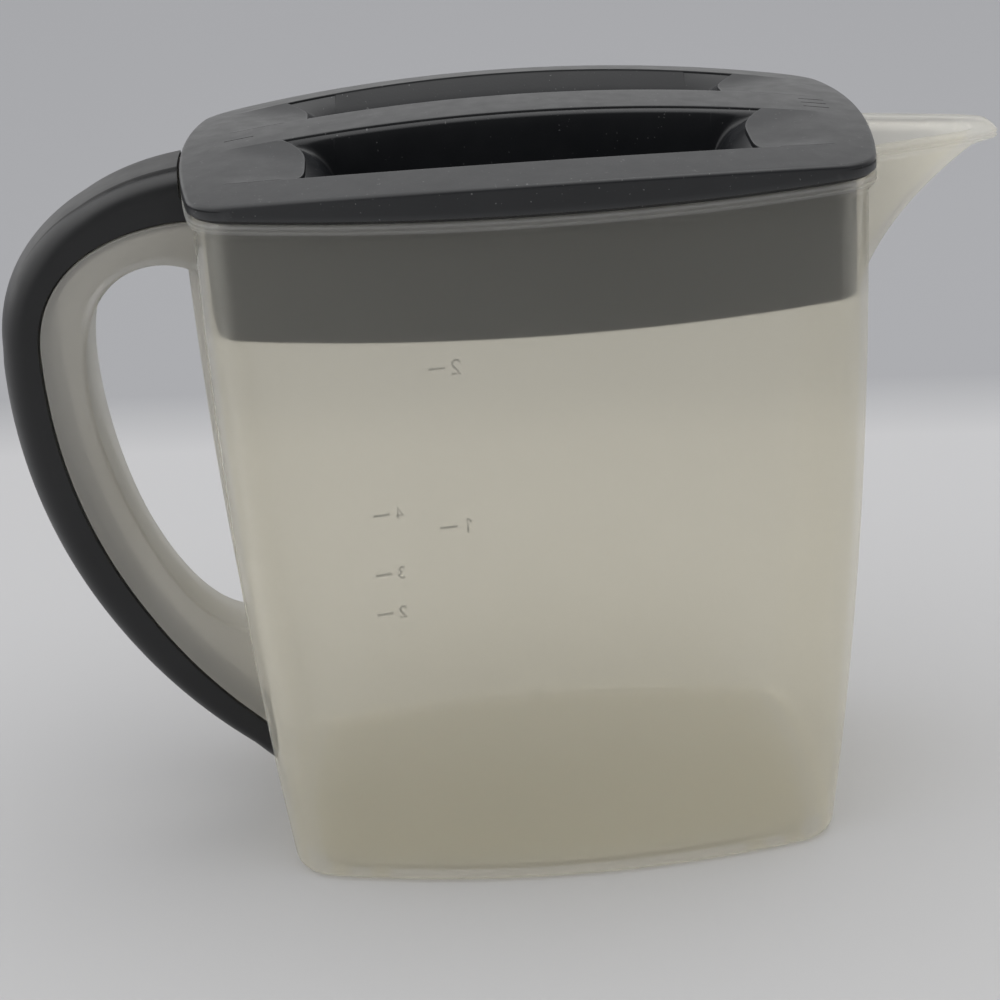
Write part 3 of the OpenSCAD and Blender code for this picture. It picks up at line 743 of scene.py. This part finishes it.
def half_rows(station, edge_x, end_x, grow, boundary):
    """Half a section across the lid at a station, from the middle out to the boundary, whose place
    across the lid is a function of the place along it."""
    x, kind, value = station

    def place_along(share, at=x):
        """The ramps and the pads' edges bow into the well between its two sides."""
        if at <= WELL_HALF:
            return at
        if at <= edge_x:
            fade = (at - WELL_HALF) / (edge_x - WELL_HALF)
        else:
            fade = (end_x - at) / (end_x - edge_x)
        return at - RAMP_BOW * fade * bulge(share)

    def surface(share, y):
        """Height of the well's surface, or of the pad beyond it."""
        sag = y * y / (2 * CROWN_Y)
        if kind == "pad":
            return pad_height(place_along(share), y, grow)
        if kind == "floor":
            return value - sag
        edge = pad_height(place_along(share, edge_x), y, grow)
        if kind == "drop":
            return edge - value
        low = CROWN_TOP - WELL_DEPTH + WELL_FILLET - sag
        high = edge - RAMP_DEPTH - WELL_ROLL * math.cos(SLOPE) + grow
        return mix(low, high, value)

    inner, x_bar, x_side = BAR_HALF - grow, place_along(0.0), place_along(1.0)
    outer = well_edge(x_side) + grow
    span = outer - inner
    bar_top, side_top = pad_height(x_bar, inner, grow), pad_height(x_side, outer, grow)
    middle = [mix(0.0, inner - BAR_MARGIN, t) for t in steps(8)]
    rows = [(x_bar, y, pad_height(x_bar, y, grow)) for y in middle]

    foot_y = inner + BAR_LEDGE[-1][0]
    depth = bar_top - surface(0.0, foot_y)
    ledge = BAR_LEDGE[-1][1]
    wall_depth = max(0.0, depth - ledge - WALL_FILLET)
    bar_wall = [(offset, bar_top - drop) for offset, drop in BAR_LEDGE]
    bar_wall += [
        (BAR_LEDGE[-1][0] + WALL_DRAFT * k, bar_top - ledge - wall_depth * k / 4) for k in range(1, 5)
    ]
    start = bar_wall[-1][0]
    rest = max(0.0, depth - ledge - wall_depth)
    fillet = (t * math.pi / 2 for t in steps(5)[1:])
    bar_wall += [
        (start + WALL_FILLET * (1 - math.cos(a)), bar_top - ledge - wall_depth - rest * math.sin(a))
        for a in fillet
    ]
    for offset, z in bar_wall:
        y = inner + offset
        share = max(0.0, offset / span)
        if offset < 0:
            rows.append((x_bar, y, pad_height(x_bar, y, grow) - (bar_top - z)))
        else:
            rows.append((place_along(share), y, soft_max(z, surface(share, y), CREASE)))

    outer_depth = max(OUTER_LEAST, side_top - surface(1.0, outer - 1.0))
    edge_drop = OUTER_EDGE[0][1]
    outer_wall = []
    for k in range(8, 0, -1):
        drop = mix(edge_drop, outer_depth, k / 8)
        slant = WALL_SLANT * (1 - math.exp((edge_drop - drop) / WALL_SLANT)) + WALL_DRAFT * (1 + k)
        outer_wall.append((outer - slant, side_top - drop))
    first = rows[-1][1]
    last = outer_wall[0][0]
    for t in steps(16)[1:-1]:
        y = mix(first, last, t)
        share = min(1.0, (y - inner) / span)
        rows.append((place_along(share), y, surface(share, y)))
    for y, z in outer_wall:
        share = min(1.0, (y - inner) / span)
        rows.append((place_along(share), y, soft_max(z, surface(share, y), CREASE)))
    for offset, drop in OUTER_EDGE:
        y = outer + offset
        z = pad_height(x_side, y, grow) - drop if offset > 0 else side_top - drop
        rows.append((x_side, y, max(z, surface(1.0, y)) if offset <= 0 else z))
    last = outer + OUTER_EDGE[-1][0]
    for t in steps(CORNER_ROWS)[1:]:
        y = mix(last, boundary(x_side), t)
        rows.append((x_side, y, pad_height(x_side, y, grow)))
    return rows


def lid_sheet(grow, inset):
    """Grid of points over the lid's top, or its underside, out to an outline at that inset. The first
    index runs along the lid and the second across it; the last grid rows lie on the outline's ends."""
    (side, rs), (end, re), (c, rc), t1, t2 = arcs(RIM_A, RIM_B, inset)
    end_x = side.x + rs * math.cos(t1)
    stations, edge_x = well_stations(grow, end_x)
    grid = []
    for station in stations:
        half = half_rows(station, edge_x, end_x, grow, lambda x: math.sqrt(rs * rs - x * x) - side.y)
        grid.append([(x, -y, z) for x, y, z in half[:0:-1]] + half)
    last = grid[-1]
    turn_y = last[-1 - CORNER_ROWS][1]
    count = len(last) - 1
    rim = []
    for i, (_, y, _) in enumerate(last):
        if abs(y) <= turn_y + 1e-6:
            angle = math.asin(math.sin(-t2) * y / turn_y)
            rim.append(on_arc(end, re, angle))
        else:
            k = min(i, count - i) / CORNER_ROWS
            px, py = on_arc(c, rc, mix(t1, t2, k))
            rim.append((px, py if y < 0 else -py))
    for t in steps(9)[1:]:
        row = []
        for (x, y, _), (qx, qy) in zip(last, rim):
            px, py = mix(x, qx, t), mix(y, qy, t)
            row.append((px, py, pad_height(px, py, grow)))
        grid.append(row)
    mirrored = [[(-x, y, z) for x, y, z in row] for row in grid[:0:-1]]
    return mirrored + grid


def boundary_of(grid):
    """Indices of the grid's boundary points, counter-clockwise from above."""
    m, n = len(grid), len(grid[0])
    loop = [(j, 0) for j in range(m)]
    loop += [(m - 1, i) for i in range(1, n)]
    loop += [(j, n - 1) for j in range(m - 2, -1, -1)]
    loop += [(0, i) for i in range(n - 2, 0, -1)]
    return loop


def outline_normal(x, y, inset):
    """Outward direction of the bowed outline at a point of it."""
    (side, rs), (end, re), (c, rc), t1, t2 = arcs(RIM_A, RIM_B, inset)
    px, py = abs(x), -abs(y)
    centre = c
    if math.atan2(py - side.y, px - side.x) < t1 + 1e-9:
        centre = side
    elif math.atan2(py - end.y, px - end.x) > t2 - 1e-9:
        centre = end
    n = Vector((px - centre.x, py - centre.y)).normalized()
    return n.x * (1 if x >= 0 else -1), -n.y * (1 if y >= 0 else -1)


# Rounding of the lid's upper edge, and the fall of its side just under the rounding
LID_ROUND, LID_SIDE_FALL = 1.0, 0.4
# Lid's side and seat as (inset, rise above the rim) pairs, down to where the skirt starts
LID_SIDE = ((-2.1, 3.5), (-2.1, 1.4), (-1.95, 1.1), (-1.6, 1.0), (-1.1, 0.95), (-0.9, 0.6), (-0.8, 0.15))
LID_SEAT = ((-0.5, 0.05), (2.4, 0.05), (2.75, -0.2), (SKIRT_INSET, -0.6))
# Skirt's lower edge as (inset, rise above it) pairs, and the top of its inside above the rim
SKIRT_EDGE = ((3.2, 0.8), (3.35, 0.25), (3.8, 0.0), (4.9, 0.0), (5.35, 0.25), (5.45, 0.8))
SKIRT_ROOT = (SKIRT_INSET + LID_WALL, -1.0)
# Fillet between skirt and underside as (inset past the skirt, drop below the underside) pairs
UNDER_FILLET = ((0.0, 1.0), (0.3, 0.3), (1.0, 0.0))


def straight(start, end, count):
    """Points on the way from start to end, without the start."""
    return [(mix(start[0], end[0], t), mix(start[1], end[1], t)) for t in steps(count)[1:]]


def lid_shell():
    top_inset, under_inset = LID_ROUND - BEAD_REACH, SKIRT_ROOT[0] + UNDER_FILLET[-1][0]
    top = lid_sheet(0.0, top_inset)
    under = lid_sheet(LID_WALL, under_inset)
    m, n = len(top), len(top[0])
    verts = [p for row in top for p in row]
    offset = len(verts)
    verts += [p for row in under for p in row]
    faces = []
    for j in range(m - 1):
        for i in range(n - 1):
            quad = (j * n + i, (j + 1) * n + i, (j + 1) * n + i + 1, j * n + i + 1)
            faces.append(quad)
            faces.append(tuple(offset + k for k in reversed(quad)))
    loop = boundary_of(top)
    edge = [verts[j * n + i] for j, i in loop]
    normals = [outline_normal(x, y, top_inset) for x, y, _ in edge]

    def ring(inset, height):
        """Ring round the lid: height is a number, or takes a point of the ring."""
        found = []
        for (x, y, _), (nx, ny) in zip(edge, normals):
            px, py = x + nx * (top_inset - inset), y + ny * (top_inset - inset)
            found.append((px, py, height(px, py) if callable(height) else height))
        return found

    rings = []
    for t in steps(6)[1:]:
        angle = t * math.pi / 2
        inset, drop = top_inset - LID_ROUND * math.sin(angle), LID_ROUND * (1 - math.cos(angle))
        rings.append(ring(inset, lambda x, y, d=drop: crown(x, y) - d))
    rings.append(ring(top_inset - LID_ROUND, lambda x, y: crown(x, y) - LID_ROUND - LID_SIDE_FALL))
    profile = [(inset, RIM + rise) for inset, rise in LID_SIDE + LID_SEAT]
    skirt = [(inset, SKIRT_BOTTOM + rise) for inset, rise in SKIRT_EDGE]
    profile += straight(profile[-1], skirt[0], 6) + skirt[1:]
    profile += straight(skirt[-1], (SKIRT_ROOT[0], RIM + SKIRT_ROOT[1]), 6)
    rings += [ring(inset, z) for inset, z in profile]
    for run, drop in UNDER_FILLET[:-1]:
        rings.append(ring(SKIRT_ROOT[0] + run, lambda x, y, d=drop: crown(x, y) - LID_WALL - d))
    indices = [[j * n + i for j, i in loop]]
    for points in rings:
        indices.append(list(range(len(verts), len(verts) + len(points))))
        verts += points
    indices.append([offset + j * n + i for j, i in loop])
    size = len(loop)
    for a, b in zip(indices, indices[1:]):
        for i in range(size):
            k = (i + 1) % size
            faces.append((a[i], b[i], b[k], a[k]))
    return make("lid_shell", verts, faces, merge=0.004)


# Openings in the skirt: places along and below the rim, half reach of a cutter, and the openings' sizes
SLOT_PLACE, SLOT_DROP, SLOT_REACH = 84.4, 16.0, 8.0
SLOT_COUNT, SLOT_PITCH, SLOT_WIDTH, SLOT_HEIGHT, SLOT_ROUND = 9, 4.6, 2.4, 16.0, 1.19
POUR_WIDTH, POUR_ROUND = 36.0, 4.0
# Grooves in the lid's top: half width, depth, height of the cutter, and where they start and end
MARK_HALF, MARK_DEPTH, MARK_CLEAR = 0.28, 0.4, 2.0
THREE_MARKS, THREE_PLACES = (76.2, 82.6), (5.2, 0.4, -4.5)
ONE_MARK, ONE_PLACE = (-79.5, -72.0), 0.2


def skirt_slot(x, y, width, radius):
    """Cutter for one opening with rounded corners in the skirt's end."""
    across, up = width / 2 - radius, SLOT_HEIGHT / 2 - radius
    ring = []
    for cy, cz, start in ((across, up, 0), (-across, up, 90), (-across, -up, 180), (across, -up, 270)):
        ring += arc_points(y + cy, RIM - SLOT_DROP + cz, radius, start, start + 90, 6)
    ends = [[(px, qy, qz) for qy, qz in ring] for px in (x - SLOT_REACH, x + SLOT_REACH)]
    return make("slot", *loft(ends), merge=0.001)


def end_mark(start, end, y):
    """Cutter for one short groove in the lid's top, running along the lid."""
    ring = arc_points(start, y, MARK_HALF, 90, 270, 6) + arc_points(end, y, MARK_HALF, -90, 90, 6)
    ends = [[(px, py, crown(px, py) + h) for px, py in ring] for h in (-MARK_DEPTH, MARK_CLEAR)]
    return make("mark", *loft(ends))


lid = lid_shell()
slot_places = [(i - (SLOT_COUNT - 1) / 2) * SLOT_PITCH for i in range(SLOT_COUNT)]
cuts = [skirt_slot(SLOT_PLACE, y, SLOT_WIDTH, SLOT_ROUND) for y in slot_places]
cuts.append(skirt_slot(-SLOT_PLACE, 0.0, POUR_WIDTH, POUR_ROUND))
cuts += [end_mark(*THREE_MARKS, y) for y in THREE_PLACES] + [end_mark(*ONE_MARK, ONE_PLACE)]
combine(lid, cuts, "DIFFERENCE")
smooth_shade(lid, crease=35)
weigh_normals(lid)
place(lid, "lid", "lid_plastic", LID, "lid")


# Fill scale on the outside of the far wall, to be read from there

# Ticks as place along the wall, height, length, number and the number's height
TICKS = (
    (-26.0, 106.7, 5.0, 2, 4.6),
    (-25.5, 56.0, 5.5, 1, 4.6),
    (-46.0, 62.5, 5.0, 4, 3.6),
    (-46.6, 43.3, 5.0, 3, 3.6),
    (-47.0, 30.5, 5.0, 2, 3.6),
)
TICK_WIDTH, DIGIT_WIDTH, DIGIT_GAP, DIGIT_SHARE = 0.7, 0.65, 2.0, 0.6
# Depth of the ink in the wall's surface, and its height above it
INK_SUNK, INK_PROUD = 0.05, 0.08
# Strokes of the numbers, as shares of their height
DIGITS = {
    1: ((0.1, 0.75), (0.36, 1.0), (0.36, 0.0)),
    2: ((0.05, 0.8), (0.18, 0.97), (0.42, 0.97), (0.56, 0.78), (0.48, 0.55), (0.05, 0.03), (0.6, 0.03)),
    3: ((0.05, 0.9), (0.3, 1.0), (0.54, 0.8), (0.28, 0.55), (0.58, 0.27), (0.3, 0.0), (0.04, 0.12)),
    4: ((0.44, 0.0), (0.44, 1.0), (0.02, 0.3), (0.62, 0.3)),
}


def stroke(points, width):
    """Thin raised ribbon on the wall along points given as places along and up the wall."""
    flat = [Vector(p) for p in points]
    rings = []
    for i, p in enumerate(flat):
        before = (p - flat[max(i - 1, 0)]).normalized()
        after = (flat[min(i + 1, len(flat) - 1)] - p).normalized()
        run = (before + after).normalized()
        across = Vector((-run.y, run.x)) * width / 2
        rings.append([])
        for sign, lift in ((-1, -INK_SUNK), (1, -INK_SUNK), (1, INK_PROUD), (-1, INK_PROUD)):
            q = p + across * sign
            wall = math.sqrt(SIDE_BOW**2 - q.x**2) - SIDE_BOW + half_depth(q.y)
            rings[-1].append((q.x, wall + lift, q.y))
    return loft(rings)


def fill_scale():
    ribbons = []
    for x, z, length, number, size in TICKS:
        ribbons.append(stroke([(x + length / 2, z), (x - length / 2, z)], TICK_WIDTH))
        start = x + length / 2 + DIGIT_GAP + size * DIGIT_SHARE
        points = [(start - u * size, z + (v - 0.5) * size) for u, v in DIGITS[number]]
        ribbons.append(stroke(points, DIGIT_WIDTH))
    verts, faces = [], []
    for ribbon_verts, ribbon_faces in ribbons:
        faces += [tuple(len(verts) + i for i in face) for face in ribbon_faces]
        verts += ribbon_verts
    return make("fill_scale", verts, faces)


place(fill_scale(), "pitcher", "natural_plastic", INK)


# Floor, light and camera, in metres

FLOOR_HALF = 6.0
# The floor's tones, and where it turns from near to middle, and along a slanting line to far
FLOOR_NEAR, FLOOR_MIDDLE, FLOOR_FAR = (0.47, 0.47, 0.475), (0.455, 0.455, 0.465), (0.32, 0.323, 0.338)
NEAR_TURN, FAR_TURN, FAR_SLANT = (-0.2, 0.32), (0.3, 0.375), 0.137
SOFTBOX_SIDE, SOFTBOX_WATTS, SOFTBOX_PLACE, SOFTBOX_AIM = 0.9, 3.0, (0.4, 0.0, 1.3), (0.0, 0.0, 0.1)
# Camera: place, turns in radians, and lens by its focal length in pixels of a square picture
CAMERA_PLACE = (-0.03563, -0.72351, 0.35546)
CAMERA_YAW, CAMERA_PITCH, CAMERA_ROLL = 0.0334, 0.3544, -0.0589
FOCAL_PIXELS, PICTURE_PIXELS, SENSOR_WIDTH = 2731.36, 1000.0, 36.0


def floor():
    h = FLOOR_HALF
    mesh = bpy.data.meshes.new("floor")
    mesh.from_pydata([(-h, -h, 0), (h, -h, 0), (h, h, 0), (-h, h, 0)], [], [(0, 1, 2, 3)])
    obj = bpy.data.objects.new("floor", mesh)
    bpy.context.scene.collection.objects.link(obj)
    material, tree, shader = new_material("floor_paint")
    where = add(tree, "ShaderNodeTexCoord")
    split = add(tree, "ShaderNodeSeparateXYZ")
    tree.links.new(where.outputs["Object"], split.inputs["Vector"])
    near = remap(tree, split.outputs["Y"], *NEAR_TURN, 0.0, 1.0)
    pale = blend_colours(tree, near, FLOOR_NEAR, FLOOR_MIDDLE)
    slant = add(tree, "ShaderNodeMath", operation="MULTIPLY_ADD")
    tree.links.new(split.outputs["X"], slant.inputs[0])
    slant.inputs[1].default_value = FAR_SLANT
    tree.links.new(split.outputs["Y"], slant.inputs[2])
    far = remap(tree, slant.outputs[0], *FAR_TURN, 0.0, 1.0)
    colour = blend_colours(tree, far, pale, FLOOR_FAR)
    tree.links.new(colour, shader.inputs["Base Color"])
    shader.inputs["Roughness"].default_value = 0.8
    shader.inputs["Specular IOR Level"].default_value = 0.1
    mesh.materials.append(material)


def studio():
    """Soft light from overhead, from behind near the floor and from the left, with one large softbox."""
    world = bpy.data.worlds.new("studio")
    bpy.context.scene.world = world
    world.use_nodes = True
    tree = world.node_tree
    background = tree.nodes["Background"]
    where = add(tree, "ShaderNodeTexCoord")
    split = add(tree, "ShaderNodeSeparateXYZ")
    tree.links.new(where.outputs["Generated"], split.inputs["Vector"])

    def ramp(value, low, high, to_low, to_high):
        result = remap(tree, value, low, high, to_low, to_high)
        result.node.interpolation_type = "SMOOTHSTEP"
        return result

    def maths(operation, first, second):
        node = add(tree, "ShaderNodeMath", operation=operation)
        tree.links.new(first, node.inputs[0])
        tree.links.new(second, node.inputs[1])
        return node.outputs[0]

    overhead = ramp(split.outputs["Z"], 0.32, 0.95, 0.12, 1.53)
    low = ramp(split.outputs["Z"], 0.25, 0.75, 1.0, 0.0)
    behind = maths("MULTIPLY", ramp(split.outputs["Y"], 0.0, 0.7, 0.0, 0.55), low)
    left = ramp(split.outputs["X"], -0.2, -0.9, 0.0, 0.85)
    total = maths("ADD", maths("ADD", overhead, behind), left)
    tree.links.new(total, background.inputs["Strength"])
    background.inputs["Color"].default_value = (1.0, 1.0, 1.0, 1.0)
    lamp = bpy.data.lights.new("softbox", "AREA")
    lamp.shape = "RECTANGLE"
    lamp.size, lamp.size_y = SOFTBOX_SIDE, SOFTBOX_SIDE
    lamp.energy = SOFTBOX_WATTS
    box = bpy.data.objects.new("softbox", lamp)
    bpy.context.scene.collection.objects.link(box)
    box.location = SOFTBOX_PLACE
    box.rotation_euler = (Vector(SOFTBOX_AIM) - box.location).to_track_quat("-Z", "Y").to_euler()


def camera():
    yaw, pitch, roll = CAMERA_YAW, CAMERA_PITCH, CAMERA_ROLL
    forward = Vector(
        (math.sin(yaw) * math.cos(pitch), math.cos(yaw) * math.cos(pitch), -math.sin(pitch))
    )
    level = Vector((math.cos(yaw), -math.sin(yaw), 0))
    above = level.cross(forward)
    right = level * math.cos(roll) + above * math.sin(roll)
    up = above * math.cos(roll) - level * math.sin(roll)
    data = bpy.data.cameras.new("camera")
    data.sensor_width = SENSOR_WIDTH
    data.lens = FOCAL_PIXELS * SENSOR_WIDTH / PICTURE_PIXELS
    data.clip_start = 0.01
    obj = bpy.data.objects.new("camera", data)
    bpy.context.scene.collection.objects.link(obj)
    turn = Matrix((right, up, -forward)).transposed().to_4x4()
    obj.matrix_world = Matrix.Translation(CAMERA_PLACE) @ turn
    bpy.context.scene.camera = obj


floor()
studio()
camera()
bpy.context.scene.view_settings.view_transform = "Standard"
